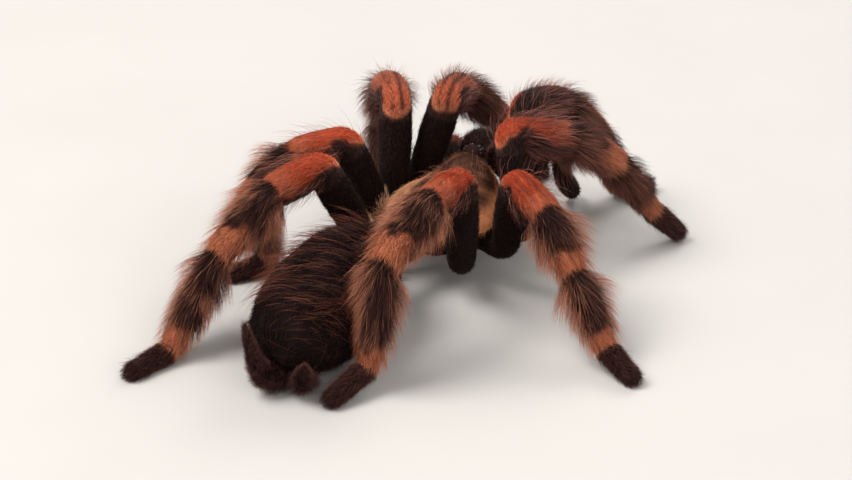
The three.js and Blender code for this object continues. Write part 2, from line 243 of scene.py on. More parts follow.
def limb(joints, sides, girth, coat, bend, step=0.1, keep=4):
    """Tube along a chain of joints: straight runs whose corners are rounded by a moving average.

    girth holds (q, half thickness) knots of the solid, coat the hair's depth at the same knots. bend is how
    far the rounding reaches each way. Samples lie step apart. Every keep-th one makes a ring, and near the
    ends all of them do.
    """
    points, across, q = [], [], []
    for k in range(len(joints) - 1):
        length = np.linalg.norm(joints[k + 1] - joints[k])
        t = np.linspace(0, 1, max(3, int(length / step)), endpoint=k == len(joints) - 2)[:, None]
        points.append(joints[k] * (1 - t) + joints[k + 1] * t)
        across.append(np.repeat(sides[k][None], len(t), 0))
        q.append(k + t[:, 0])
    points, across, q = np.vstack(points), np.vstack(across), np.concatenate(q)
    half = int(bend / step)
    lead = points[:1] - (points[1] - points[0]) * np.arange(half, 0, -1)[:, None]
    tail = points[-1:] + (points[-1] - points[-2]) * np.arange(1, half + 1)[:, None]
    long = np.vstack([lead, points, tail])
    centre = smoothed(long, half)[half:-half]
    across = smoothed(across, half)
    knots = np.array(girth)
    radius = smoothed(np.interp(q, knots[:, 0], knots[:, 1] - np.asarray(coat)), 5)
    along = np.r_[0, np.cumsum(np.linalg.norm(np.diff(centre, axis=0), axis=1))]
    for distance in (along, along[-1] - along):
        cap = np.clip(1 - distance / radius.clip(0.2), 0, 1)
        radius = radius * np.sqrt(np.clip(1 - cap**2, 0.0004, 1))
    pick = np.unique(np.r_[np.arange(6), np.arange(0, len(q), keep), np.arange(len(q) - 12, len(q))])
    return Tube(centre[pick], across[pick], radius[pick], radius[pick], q[pick])


def swept(stations, side, steps, coat):
    """Tube through stations of (point, half width, half height), joined by straight lines and smoothed."""
    points = np.array([s[0] for s in stations], float)
    wide = np.array([s[1] for s in stations], float)
    high = np.array([s[2] for s in stations], float)
    k = np.linspace(0, len(stations) - 1, steps)
    half = max(1, steps // (3 * len(stations)))
    i = np.arange(len(stations))
    centre = np.stack([np.interp(k, i, points[:, a]) for a in range(3)], 1)
    centre = smoothed(centre, half)
    wide = np.maximum(smoothed(np.interp(k, i, wide), half) - coat, 0.02)
    high = np.maximum(smoothed(np.interp(k, i, high), half) - coat, 0.02)
    return Tube(centre, np.repeat(side[None], steps, 0), wide, high, k)


def egg(centre, axis, side, length, width, height, tail, coat, steps):
    """Egg along an axis, front u = 1 to rear u = -1, less the coat's depth, in a number of steps.

    The half axes times w = sqrt(1 - u u), raised to 1 / tail behind the middle, times 1 - u (tail - 1) / 10.
    """
    u = np.cos(np.linspace(0, math.pi, steps))
    w = np.sqrt(np.clip(1 - u * u, 1e-4, 1)) ** np.where(u < 0, 1 / tail, 1) * (1 - 0.1 * u * (tail - 1))
    line = centre + axis * (u * (length / 2 - coat))[:, None]
    grown = np.maximum(w * (width / 2) - coat * np.minimum(1, w * 2), 0.02)
    risen = np.maximum(w * (height / 2) - coat * np.minimum(1, w * 2), 0.02)
    return Tube(line, np.repeat(-side[None], steps, 0), grown, risen, np.linspace(0, 1, steps))


# ---- legs and palps ----------------------------------------------------------------------------------
# Half thickness of the solids at knots q, counted from the body's middle: coxa 0, femur 1, patella 2 ...
GIRTH = [
    (0.0, 2.2), (1.0, 2.3), (1.33, 2.75), (1.67, 2.9), (1.94, 2.68), (2.0, 2.62), (2.1, 2.75), (2.4, 3.05),
    (2.8, 3.0), (2.97, 2.75), (3.05, 2.85), (3.33, 3.2), (3.7, 3.15), (3.95, 2.6), (4.05, 2.5), (4.33, 2.8),
    (4.7, 2.6), (4.93, 2.1), (5.0, 1.95), (5.1, 1.85), (5.4, 1.9), (5.8, 1.75), (6.0, 1.45),
]
COAT = [
    0.4, 0.4, FEMUR_COAT, FEMUR_COAT, FEMUR_COAT, FEMUR_COAT, PATELLA_COAT, PATELLA_COAT,
    PATELLA_COAT, PATELLA_COAT, 0.6, TIBIA_COAT, TIBIA_COAT, 0.8, 0.8, METATARSUS_COAT,
    METATARSUS_COAT, 0.6, 0.5, 0.45, TARSUS_COAT, TARSUS_COAT, 0.3,
]
PALP_GIRTH = [
    (0.0, 1.5), (1.0, 1.5), (1.4, 1.9), (1.9, 1.85), (2.0, 1.8), (2.4, 2.0), (2.95, 1.85), (3.05, 1.85),
    (3.4, 2.1), (3.95, 1.75), (4.05, 1.7), (4.4, 1.75), (4.8, 1.6), (5.0, 1.35),
]
PALP_COAT = [0.3, 0.3, 0.35, 0.35, 0.4, 0.45, 0.45, 0.5, 0.6, 0.5, 0.35, 0.35, 0.35, 0.25]


def leg_chain(side, i):
    """Joints of a leg from the body's middle to the toe, and its across direction on each segment."""
    knee, (turn, rise), outer, toe, fall, drop = POSE[side][i]
    azimuth, reach = SWUNG_HIPS.get((side, i), HIPS[i])
    a = math.radians(azimuth)
    hip = on_body((side * reach * math.sin(a), reach * math.cos(a), 0))
    joints = [on_body(LEG_ROOT), hip, np.array(knee, float)]
    joints.append(joints[-1] + PATELLA[i] * heading(turn, rise, side))
    joints.append(joints[-1] + TIBIA[i] * heading(outer, fall, side))
    joints.append(joints[-1] + METATARSUS[i] * heading(outer, drop, side))
    sole = math.degrees(math.asin(min(1, (joints[-1][2] - TOE_Z) / TARSUS[i])))
    joints.append(joints[-1] + TARSUS[i] * heading(toe, -sole, side))
    return joints, [across_of(z, side) for z in (azimuth, turn, turn, outer, outer, toe)]


def across_of(azimuth, side):
    """Level direction square to an azimuth, such that across x ahead points up."""
    a = math.radians(azimuth)
    return np.array([math.cos(a), -side * math.sin(a), 0.0])


def palp_chain(side):
    """Joints of a palp from inside the body to its tip, and its across direction on each segment."""
    joints = [on_body((side * x, y, z)) for x, y, z in (PALP_ROOT, PALP_HIP)]
    for azimuth, rise, length in PALPS[side]:
        if rise is None:
            rise = -math.degrees(math.asin(min(1, (joints[-1][2] - TOE_Z) / length)))
        joints.append(joints[-1] + length * heading(azimuth, rise, side))
    return joints, [across_of(PALPS[side][1][0], side)] * 5


KNEE_BEND, PALP_BEND = 1.1, 0.8  # how far a bend is rounded
LEGS = [limb(*leg_chain(side, i), GIRTH, COAT, KNEE_BEND) for side in (-1, 1) for i in range(4)]
PALP_TUBES = [limb(*palp_chain(side), PALP_GIRTH, PALP_COAT, PALP_BEND) for side in (-1, 1)]
L1, L2, L3, L4, R1, R2, R3, R4 = range(8)
FRONT_LEGS, HIND_LEGS = [L1, L2, R1, R2], [L3, L4, R3, R4]

# Where the legs' markings differ from each other.
for i in (L1, L2):
    LEGS[i].slant, LEGS[i].groove, LEGS[i].blush = 0.08, (1.88, 0.9, 0.16), 0.45
for i, roll, narrow in ((R1, -1.2, 0.4), (R3, 0.3, 0.0), (L4, 0.0, -0.3), (R4, 0.0, -0.25)):
    LEGS[i].roll, LEGS[i].narrow = roll, narrow
# the hind legs' dark stripe of long hair is turned toward each leg's shaded side: painted shade
for i, shade in ((L3, -0.7), (L4, -0.9), (R3, 0.4), (R4, -0.75)):
    LEGS[i].shade = shade
for i in FRONT_LEGS:
    LEGS[i].band = 3.47

# ---- body forms --------------------------------------------------------------------------------------
RIGHT, FORWARD = TURN[:, 0], TURN[:, 1]
turn, tilt = math.radians(ABDOMEN_TURN), math.radians(ABDOMEN_TILT)
AXIS = np.array([math.sin(turn) * math.cos(tilt), math.cos(turn) * math.cos(tilt), math.sin(tilt)])
ABDOMEN_SIDE = np.array([math.cos(turn), -math.sin(turn), 0.0])
ABDOMEN_MID = np.array([ABDOMEN["x"], ABDOMEN["y"], ABDOMEN["z"]])
abdomen = egg(
    ABDOMEN_MID, AXIS, ABDOMEN_SIDE, ABDOMEN["length"], ABDOMEN["width"], ABDOMEN["height"],
    ABDOMEN["tail"], coat=ABDOMEN_COAT, steps=90,
)
BREAST_MID, BREAST_LONG, BREAST_WIDE, BREAST_HIGH = on_body((0, -0.4, -0.9)), 16.8, 11.2, 5.0
breast = egg(
    BREAST_MID, FORWARD, RIGHT, BREAST_LONG, BREAST_WIDE, BREAST_HIGH, tail=1, coat=0.4, steps=40
)
WAIST_ENDS = [np.array([-1.5, -17.0, 8.0]), on_body((0, -5.0, -0.4))]  # in the abdomen, under the shield
WAIST_GIRTH, WAIST_COAT = [(0, 1.7), (1, 1.7)], [0.3, 0.3]
waist = limb(WAIST_ENDS, [across_of(0, 1)], WAIST_GIRTH, WAIST_COAT, bend=0.5)

# Stations. Jaw: across, forward, up, half width, half height. Fang: forward, up, half width, half height.
# Finger, as a spinneret is called here: across and forward from the abdomen's rear end, up, half width.
JAW = [
    (2.35, 10.9, 4.9, 0.05, 0.05), (2.35, 11.2, 4.9, 1.9, 2.7), (2.45, 13.4, 5.3, 2.25, 3.3),
    (2.45, 15.8, 4.0, 2.25, 3.2), (2.4, 17.4, 1.4, 2.1, 2.5), (2.35, 17.7, -0.6, 1.4, 1.5),
    (2.35, 17.7, -1.1, 0.05, 0.05),
]
FANG_ACROSS = 2.2
FANG = [
    (17.5, -1.0, 0.7, 0.8), (17.45, -1.6, 0.75, 0.85), (16.9, -3.0, 0.65, 0.75), (15.6, -4.1, 0.5, 0.55),
    (14.0, -4.5, 0.3, 0.32), (13.0, -4.5, 0.03, 0.03),
]
FINGER = {
    -1: [
        (1.3, 4.2, 2.9, 1.6), (1.5, 1.6, 2.3, 1.9), (2.1, -0.5, 3.7, 1.6), (2.75, -1.6, 6.6, 1.2),
        (3.4, -2.1, 9.9, 0.85), (3.7, -2.2, 12.0, 0.45), (3.7, -2.15, 12.7, 0.05),
    ],
    1: [
        (1.9, 5.4, 2.9, 1.4), (2.4, 3.4, 2.2, 1.65), (3.2, 1.8, 2.9, 1.5), (4.1, 0.6, 4.3, 1.2),
        (4.8, -0.2, 5.9, 0.85), (5.1, -0.5, 6.9, 0.45), (5.15, -0.5, 7.2, 0.05),
    ],
}
rear = ABDOMEN_MID - AXIS * ABDOMEN["length"] / 2
rear[2] = 0.0
jaws, fangs, fingers = [], [], []
for side in (-1, 1):
    line = [(on_body((side * x, y, z)), w, h) for x, y, z, w, h in JAW]
    jaws.append(swept(line, RIGHT, steps=60, coat=0.2))
    line = [(on_body((side * FANG_ACROSS, y, z)), w, h) for y, z, w, h in FANG]
    fangs.append(swept(line, RIGHT, steps=36, coat=0.0))
    line = [(rear + np.array([side * x, y, z]), w, w) for x, y, z, w in FINGER[side]]
    fingers.append(swept(line, ABDOMEN_SIDE, steps=60, coat=0.25))

# ---- shield ------------------------------------------------------------------------------------------
OUTLINE = [10.8, 10.3, 9.35, 8.8, 8.9, 9.15, 9.25, 9.4, 9.7, 10.0]  # reach of the rim every 20 degrees
SHIELD_FLOOR = 2.25  # its underside, up from the fore body's middle
HEAD_Y, PIT_Y = 7.0, -1.5  # how far ahead the head's bump and the pit lie
RAYS = 8  # grooves that ray from the pit


def rim_reach(azimuth):
    """Reach of the shield's rim at an azimuth from ahead, in radians: smooth through the outline."""
    a = np.abs(np.mod(azimuth + math.pi, TAU) - math.pi) / math.pi * (len(OUTLINE) - 1)
    k = np.minimum(a.astype(int), len(OUTLINE) - 2)
    f = a - k
    f = (f * f * (3 - 2 * f) + f) / 2
    reach = np.array(OUTLINE)
    return reach[k] * (1 - f) + reach[k + 1] * f


def shield_point(rho, azimuth):
    """Shield's surface: a low dome, plus the head's bump, less a pit and shallow grooves that ray from it."""
    reach = (rim_reach(azimuth) - SHIELD_COAT) * rho
    x, y = reach * np.sin(azimuth), reach * np.cos(azimuth)
    dome = 3.0 + 2.7 * np.clip(1 - rho**2.2, 0, 1) ** 0.7
    head = 3.9 * np.exp(-np.abs(x / 5.0) ** 3 - ((y - HEAD_Y) / 5.4) ** 2) * np.minimum(1, (1 - rho) * 4.2)
    pit = 0.6 * np.exp(-((x / 1.6) ** 2) - ((y - PIT_Y) / 1.4) ** 2)
    ray = np.arctan2(x, y - PIT_Y)
    away = np.hypot(x, y - PIT_Y)
    groove = 0.16 * np.exp(-((np.mod(ray / TAU * RAYS + 0.5, 1) - 0.5) ** 2) / 0.012)
    groove = groove * smooth((away - 1.2) / 2) * smooth((9.5 - away) / 3)
    return on_body(np.stack([x, y, dome + head - pit - groove - SHIELD_COAT], -1))


COMB_SPOT = on_body((0.0, 4.0, 0.0)) + np.array([0.0, 3.0, 0.0])  # deep under the head


def shield_frame(rho, azimuth):
    """Point, outward normal and lie of the shield's hair: away from COMB_SPOT, along the surface."""
    d = 0.004  # step of the two differences whose cross product is the normal
    p = shield_point(rho, azimuth)
    outer = np.clip(rho + d, 2 * d, 1)  # both spots lie between the middle and the rim
    du = shield_point(outer, azimuth) - shield_point(outer - 2 * d, azimuth)
    dv = shield_point(rho, azimuth + d) - shield_point(rho, azimuth - d)
    normal = unit(np.cross(dv, du))
    normal = normal * np.sign(normal[:, 2:])
    away = p - COMB_SPOT
    return p, normal, unit(away - normal * (away * normal).sum(1, keepdims=True))


# ---- meshes ------------------------------------------------------------------------------------------
def make_mesh(name, points, tris, material, uv=None, marks=None):
    """Smooth-shaded object on the one body: pose millimetres, triangles, a UV per corner, marks per point."""
    mesh = bpy.data.meshes.new(name)
    placed = (points - ORIGIN) * MM
    mesh.vertices.add(len(placed))
    mesh.vertices.foreach_set("co", placed.astype(np.float32).ravel())
    mesh.loops.add(tris.size)
    mesh.loops.foreach_set("vertex_index", tris.astype(np.int32).ravel())
    mesh.polygons.add(len(tris))
    mesh.polygons.foreach_set("loop_start", np.arange(0, tris.size, 3, dtype=np.int32))
    mesh.update(calc_edges=True)
    mesh.polygons.foreach_set("use_smooth", np.full(len(tris), True))
    if uv is not None:
        layer = mesh.uv_layers.new(name="OFBake")
        layer.data.foreach_set("uv", uv.astype(np.float32).ravel())
    for key, values in (marks or {}).items():
        layer = mesh.attributes.new(key, "FLOAT", "POINT")
        layer.data.foreach_set("value", np.asarray(values, np.float32))
    mesh.materials.append(material)
    mesh.validate()
    piece = bpy.data.objects.new(name, mesh)
    bpy.context.scene.collection.objects.link(piece)
    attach(piece, "root")
    return piece


class Shader:
    """One material, whose nodes `node` makes. It gives a Value, so that Python maths adds Math nodes."""

    def __init__(self, name):
        self.material = bpy.data.materials.new(name)
        self.material.use_nodes = True
        self.tree = self.material.node_tree
        self.tree.nodes.clear()

    def node(self, kind, settings=None, inputs=None, out=0):
        """Adds a node: its settings first, then the values or links of its sockets."""
        made = self.tree.nodes.new(kind)
        for key, value in (settings or {}).items():
            setattr(made, key, value)
        for key, value in (inputs or {}).items():
            self.feed(made.inputs[key], value)
        return Value(self, made.outputs[out]) if made.outputs else made

    def feed(self, socket, value):
        """Links a Value to a socket, or sets the socket to a number, colour or vector."""
        if isinstance(value, Value):
            self.tree.links.new(value.socket, socket)
        else:
            socket.default_value = value

    def mix(self, share, a, b):
        """Colour a to colour b by a share from 0 to 1."""
        settings = {"data_type": "RGBA", "clamp_factor": True}
        return self.node("ShaderNodeMix", settings, {0: share, 6: rgba(a), 7: rgba(b)}, 2)

    def mark(self, name):
        """A value kept at the mesh's points."""
        return self.node("ShaderNodeAttribute", {"attribute_name": name}, out="Fac")

    def noise(self, scale, detail=3.0):
        """Noise over the object's own coordinates."""
        place = self.node("ShaderNodeTexCoord", out="Object")
        return self.node("ShaderNodeTexNoise", None, {"Vector": place, "Scale": scale, "Detail": detail})

    def finish(self, color, roughness, bump=None, **fixed):
        """Principled surface: patterns feed colour, roughness and bump, the rest is set on its sockets."""
        inputs = {"Base Color": color, "Roughness": roughness}
        if bump is not None:
            relief = {"Height": bump[0], "Distance": bump[1], "Strength": 1.0}
            inputs["Normal"] = self.node("ShaderNodeBump", None, relief)
        shader = self.node("ShaderNodeBsdfPrincipled", None, inputs)
        for key, value in fixed.items():
            shader.socket.node.inputs[key.replace("_", " ")].default_value = value
        self.node("ShaderNodeOutputMaterial", None, {"Surface": shader})
        return self.material


def rgba(color):
    """A colour with its alpha, or the link as it is."""
    return color if isinstance(color, Value) else (*color, 1.0)


class Value:
    """A socket that can be added, subtracted, multiplied, raised or clamped, with numbers or other values."""

    def __init__(self, shader, socket):
        self.shader, self.socket = shader, socket

    def _math(self, operation, a, b):
        """A Math node of two numbers or values."""
        return self.shader.node("ShaderNodeMath", {"operation": operation}, {0: a, 1: b})

    def __add__(self, other):
        return self._math("ADD", self, other)

    def __sub__(self, other):
        return self._math("SUBTRACT", self, other)

    def __rsub__(self, other):
        return self._math("SUBTRACT", other, self)

    def __mul__(self, other):
        return self._math("MULTIPLY", self, other)

    def __pow__(self, other):
        return self._math("POWER", self, other)

    __radd__ = __add__
    __rmul__ = __mul__

    def clamp(self, low=0.0, high=1.0):
        """The value kept between low and high."""
        return self.shader.node("ShaderNodeClamp", None, {"Value": self, "Min": low, "Max": high})


# Colours, as the share of light that each finish sends back: a hair's root, then its tip.
VELVET = ((0.0065, 0.0024, 0.0021), (0.026, 0.0090, 0.0078))
DEEP_ORANGE = ((0.28, 0.032, 0.011), (0.62, 0.115, 0.048))
SALMON = ((0.34, 0.088, 0.043), (0.76, 0.295, 0.155))
UNDERFUR = ((0.010, 0.0050, 0.0042), (0.072, 0.031, 0.023))
DARK_HAIR = ((0.013, 0.0048, 0.0040), (0.130, 0.047, 0.036))
LONG_HAIR = ((0.060, 0.0175, 0.0115), (0.80, 0.315, 0.185))
FRONT_HAIR = ((0.022, 0.0072, 0.0058), (0.37, 0.138, 0.094))
KNEE_HAIR = ((0.020, 0.007, 0.006), (0.34, 0.118, 0.090))
PALE_KNEE = ((0.10, 0.030, 0.022), (0.78, 0.330, 0.250))
JAW_HAIR = ((0.012, 0.0045, 0.0040), (0.115, 0.040, 0.032))
FOOT_HAIR = ((0.020, 0.0085, 0.0065), (0.21, 0.085, 0.058))
FOOT = ((0.011, 0.0046, 0.0038), (0.100, 0.035, 0.028))
BELLY = ((0.0060, 0.0021, 0.0019), (0.020, 0.0068, 0.0060))
BELLY_HAIR = ((0.030, 0.008, 0.006), (0.30, 0.090, 0.055))
SHIELD_DARK = ((0.012, 0.0045, 0.0038), (0.052, 0.0185, 0.0150))
SHIELD_TAN = ((0.50, 0.168, 0.072), (0.95, 0.430, 0.205))
# painted light: the paler colour of the shield rim's lit hind left and of the left hind hips
SHIELD_PAINTED_LIGHT = ((0.58, 0.270, 0.145), (0.97, 0.590, 0.350))


HAIR_GLOSS, SKIN_GLOSS = 0.16, 0.08  # specular levels


def fur(name, dark, warm=DEEP_ORANGE, pale=SALMON, roughness=0.62, curve=1.0):
    """Hair: root to tip colours, blended by how warm and how pale the marking is, and varied hair by hair.

    A curve above 1 keeps the root's colour farther up the hair.
    """
    s = Shader(name)
    tip, tint = s.mark("tip"), s.mark("tint")
    up = (tip**curve + (tint - 0.5) * 0.5).clamp()
    plain = s.mix(up, dark[0], dark[1])
    bright = s.mix(s.mark("pale"), s.mix(up, warm[0], warm[1]), s.mix(up, pale[0], pale[1]))
    color = s.mix(s.mark("warm"), plain, bright)
    return s.finish(color, 0.1 * tint + (roughness - 0.05), Specular_IOR_Level=HAIR_GLOSS)


def skin_finish(name, dark, warm=DEEP_ORANGE, pale=SALMON, bump=0.00012, depth=0.3):
    """Skin under the coat: the same markings, mottled, near the hair's root colours, with a fine grain."""
    s = Shader(name)
    fine = s.noise(2600.0, 4.0)
    broad = s.noise(420.0, 3.0)
    up = (fine * depth + (broad - 0.5) * 0.5).clamp()
    plain = s.mix(up, dark[0], dark[1])
    bright = s.mix(s.mark("pale"), s.mix(up, warm[0], warm[1]), s.mix(up, pale[0], pale[1]))
    color = s.mix(s.mark("warm"), plain, bright)
    relief = (fine * 0.7 + broad * 0.3, bump)
    return s.finish(color, 0.2 * fine + 0.6, relief, Specular_IOR_Level=SKIN_GLOSS)


def horn_finish(name, color, roughness, shine, mirror):
    """Smooth horn: nearly black, with faint streaks in colour and gloss.

    shine is its clear coat's weight and mirror its specular level.
    """
    s = Shader(name)
    streak = s.noise(900.0, 2.0)
    lighter = tuple(min(1, c * 2.2 + 0.004) for c in color)
    rough = 0.15 * streak + roughness
    shade = s.mix(streak, color, lighter)
    return s.finish(shade, rough, (streak, 0.00002), Coat_Weight=shine, Specular_IOR_Level=mirror)


# ---- markings, the same on skin and coat -------------------------------------------------------------
KNEE_START, KNEE_END = 1.83, 3.0  # in segments along the leg, as are the rest
BAND_END, SHIN_START, SHIN_END = 3.995, 4.71, 5.0
LINE_OFFSET = 0.34  # each bare line's turn from the back, in radians


def bare_lines(q, angle, first, last, wide=0.09):
    """Two narrow bare lines along the back between first and last: how bare a spot is."""
    line = np.exp(-(((np.abs(angle) - LINE_OFFSET) / wide) ** 2))
    return line * smooth((q - first) / 0.06) * smooth((last - q) / 0.08)


def leg_marks(tube, q, angle, seed):
    """How warm and how pale a leg is at (q, angle): smooth steps along q times smooth steps in cos(angle).

    The orange knee starts on the femur's end with a paler edge, leaves a dark hollow on each flank and comes
    down the flanks in strands toward the patella's far end. A salmon band ends the tibia and a smaller one
    the metatarsus, and a dark wedge on the back runs into the start of each.
    """
    point, _, _ = tube.at(q, angle)
    rough = ripple(point, 0.5, seed) * 0.09
    turned = angle - tube.roll
    back = np.cos(turned) + rough * 1.5
    start = q - KNEE_START - tube.slant * (1 - back) - rough * 0.4
    knee = smooth(start / 0.05) * smooth((KNEE_END - q + rough * 0.3) / 0.05)
    hollow = 0.34 * np.exp(-(((q - 2.17) / 0.12) ** 2))
    knee = knee * smooth((back - 0.2 - tube.narrow - hollow + 0.34 * smooth((q - 2.3) / 0.5)) / 0.2)
    strand = 0.5 + 0.5 * np.sin(31 * angle + 2.1 * np.sin(3 * q) + 1.7 * np.sin(7 * angle))
    knee = knee * (1 - 0.5 * strand * smooth((0.6 - back) / 0.4))
    first, depth, wide = tube.groove
    knee = knee * (1 - depth * bare_lines(q, turned, first, 2.86, wide))
    wedge = 0.11 * np.clip(back, 0, 1) ** 3
    shank = smooth((q - tube.band - rough * 0.3 - wedge) / 0.08) * smooth((BAND_END - q) / 0.02)
    shank = shank * smooth((back + 0.5) / 0.3) * (1 - 0.3 * bare_lines(q, angle, 3.5, 3.95))
    shin = smooth((q - SHIN_START - rough * 0.5 - wedge * 0.4) / 0.05) * smooth((SHIN_END - q) / 0.015)
    shin = shin * smooth((back + 0.95) / 0.4)
    edge = 0.95 * np.exp(-((start / 0.07) ** 2))
    pale = tube.blush + edge + 0.5 * smooth((q - 2.5) / 0.4) + 0.5 * smooth((q - 3.1) / 0.3)
    return np.clip(knee + shank + shin * 0.95, 0, 1), np.clip(pale, 0, 1)


def hair_marks(tube, q, angle, seed):
    """Long hair: share of golden ones, least on the dark stripe, partly painted shade; and how pale, most
    over the bands.
    """
    warm, _ = leg_marks(tube, q, angle, seed)
    patch = 0.25 * ripple(tube.at(q, angle)[0], 1.1, seed + 5)
    # dark stripe: a darker back, turned by tube.shade toward the shaded side as painted shade
    side = smooth((0.90 - np.cos(angle - tube.shade) + patch) / 0.35)
    end = smooth((q - np.floor(q) - 0.5 + patch * 0.5) / 0.3)
    return 0.12 + 0.88 * np.clip(np.maximum(side, 0.8 * end), 0, 1), warm


def palp_marks(tube, q, angle, seed):
    """A palp's markings: an orange patella and a paler band on the tibia's far end."""
    point, _, _ = tube.at(q, angle)
    rough = ripple(point, 0.5, seed) * 0.09
    back = np.cos(angle) + rough * 1.5
    knee = smooth((q - 1.84 - 0.2 * (1 - back)) / 0.05) * smooth((KNEE_END - q + rough * 0.3) / 0.05)
    knee = 0.5 * knee * smooth((back - 0.1) / 0.25)
    shank = smooth((q - 3.55 - rough) / 0.08) * smooth((BAND_END - q) / 0.02) * smooth((back + 0.3) / 0.4)
    return np.clip(knee + shank * 0.9, 0, 1), 0.5 * smooth((q - 2.5) / 0.4) + 0.4 * smooth((q - 3.1) / 0.3)


def plain_marks(tube, q, angle, seed):
    """No warm markings."""
    return np.zeros(len(q)), np.zeros(len(q))


MARK_SEED = 7  # one seed, so that skin and coat agree


# ---- skin --------------------------------------------------------------------------------------------
def build_skin():
    """One mesh of all the soft forms, each with its own strip of the bake map: along is u, around is v.

    A corner whose v would fall back to 0 goes on past 1, for which each strip keeps a margin.
    """
    # Each form's tube, its markings and how many points go around it.
    forms = [(t, leg_marks, 22) for t in LEGS] + [(t, palp_marks, 18) for t in PALP_TUBES]
    forms += [(abdomen, plain_marks, 56), (breast, plain_marks, 28), (waist, plain_marks, 16)]
    forms += [(t, plain_marks, 18) for t in jaws + fingers]
    points, tris, uv, warm, pale = [], [], [], [], []
    base = 0
    for k, (tube, marks, around) in enumerate(forms):
        p, f, q, a = tube.grid(around)
        p[:, 2] = np.maximum(p[:, 2], SKIN_GROUND)
        m = marks(tube, q, a, MARK_SEED)
        u = (q - q[0]) / (q[-1] - q[0])
        v = a / TAU
        corner_u = u[f]
        corner_v = v[f]
        corner_v = np.where(corner_v.max(1, keepdims=True) - corner_v > 0.5, corner_v + 1, corner_v)
        uv.append(np.stack([0.004 + 0.992 * corner_u, (k + 0.04 + 0.9 * corner_v / 1.02) / len(forms)], -1))
        points.append(p)
        tris.append(f + base)
        warm.append(m[0])
        pale.append(m[1])
        base += len(p)
    finish = skin_finish("skin under the coat", VELVET)
    values = {"warm": np.concatenate(warm), "pale": np.concatenate(pale)}
    return make_mesh("skin", np.vstack(points), np.vstack(tris), finish, np.concatenate(uv), values)


# ---- coat --------------------------------------------------------------------------------------------
PATCH = 0.003  # a tuft's patch on the bake map


def spike_template(rings):
    """Triangles and corner places (ring, corner) of a three-sided spike, closed at its base and its tip.

    `grow` numbers a ring's corners clockwise as seen from the tip, so this order faces outwards.
    """
    tris = [(0, 1, 2)]
    place = [((0, 0), (0, 1), (0, 2))]
    for r in range(rings - 1):
        for c in range(3):
            d = (c + 1) % 3
            a, b, e, g = 3 * r + c, 3 * r + d, 3 * r + 3 + d, 3 * r + 3 + c
            tris += [(a, e, b), (a, g, e)]
            place += [((r, c), (r + 1, c + 1), (r, c + 1)), ((r, c), (r + 1, c), (r + 1, c + 1))]
    top = 3 * rings
    for c in range(3):
        a = 3 * (rings - 1)
        tris.append((a + (c + 1) % 3, a + c, top))
        place.append(((rings - 1, c + 1), (rings - 1, c), (rings, c + 0.5)))
    place = np.array(place, float)
    place[..., 0] /= rings
    place[..., 1] /= 3
    return np.array(tris), place


SUNK = 0.05  # how far under the skin a hair starts


def grow(root, normal, flow, uv, warm, pale, length, width, lean, settle, sway, rings, rng):
    """Spikes along p(t) = root + L (d0 t + (d1 - d0) t t / 2): d0 leans out by `lean`, d1 by `settle`.

    Angles are in radians per hair; sway turns the lie about the normal. The half thickness is
    w (1 - t) ** 0.7. L is cut, to no less than a quarter, where the tip would pass the ceiling.
    """
    n = len(root)
    across = np.cross(normal, flow)
    lie = unit(flow * np.cos(sway)[:, None] + across * np.sin(sway)[:, None])
    d0 = lie * np.cos(lean)[:, None] + normal * np.sin(lean)[:, None]
    d1 = lie * np.cos(settle)[:, None] + normal * np.sin(settle)[:, None]
    climb = length * (d0 + d1)[:, 2] / 2
    length = length * np.clip((CEILING - root[:, 2]) / np.maximum(climb, 0.01), 0.25, 1)
    length, width = length[:, None, None], width[:, None, None]
    t = np.linspace(0, 1, rings + 1)[None, :, None]
    line = (root - normal * SUNK)[:, None] + length * (d0[:, None] * t + (d1 - d0)[:, None] * t * t / 2)
    way = unit(d0[:, None] + (d1 - d0)[:, None] * t)
    one = unit(np.cross(way, normal[:, None]))
    two = np.cross(one, way)
    turn = rng.uniform(0, TAU, n)[:, None, None, None] + (np.arange(3) / 3 * TAU)[None, None, :, None]
    thick = (width * (1 - t) ** 0.7)[:, :-1, None]
    rim = line[:, :-1, None] + thick * (one[:, :-1, None] * np.cos(turn) + two[:, :-1, None] * np.sin(turn))
    points = np.concatenate([rim.reshape(n, -1, 3), line[:, -1:]], 1)
    tris, place = spike_template(rings)
    count = 3 * rings + 1
    faces = (tris[None] + (np.arange(n) * count)[:, None, None]).reshape(-1, 3)
    corners = (uv[:, None, None] + place[None] * PATCH).reshape(-1, 3, 2)
    tip = np.r_[np.repeat(np.arange(rings) / rings, 3), 1.0]
    tint = rng.uniform(0, 1, n)
    each = np.ones(count)
    return {
        "points": points.reshape(-1, 3), "tris": faces, "uv": corners,
        "tip": np.tile(tip, n), "tint": np.outer(tint, each).ravel(),
        "warm": np.outer(warm, each).ravel(), "pale": np.outer(pale, each).ravel(),
    }


def coat_piece(name, growths, material):
    """One coat object from several growths of hair, kept off the floor."""
    base, tris = 0, []
    for g in growths:
        tris.append(g["tris"] + base)
        base += len(g["points"])
    points = np.concatenate([g["points"] for g in growths])
    points[:, 2] = np.maximum(points[:, 2], GROUND)
    marks = {key: np.concatenate([g[key] for g in growths]) for key in ("tip", "tint", "warm", "pale")}
    tris = np.concatenate(tris)
    uv = np.clip(np.concatenate([g["uv"] for g in growths]), 0, 1)
    piece = make_mesh(name, points, tris, material, uv, marks)
    return piece


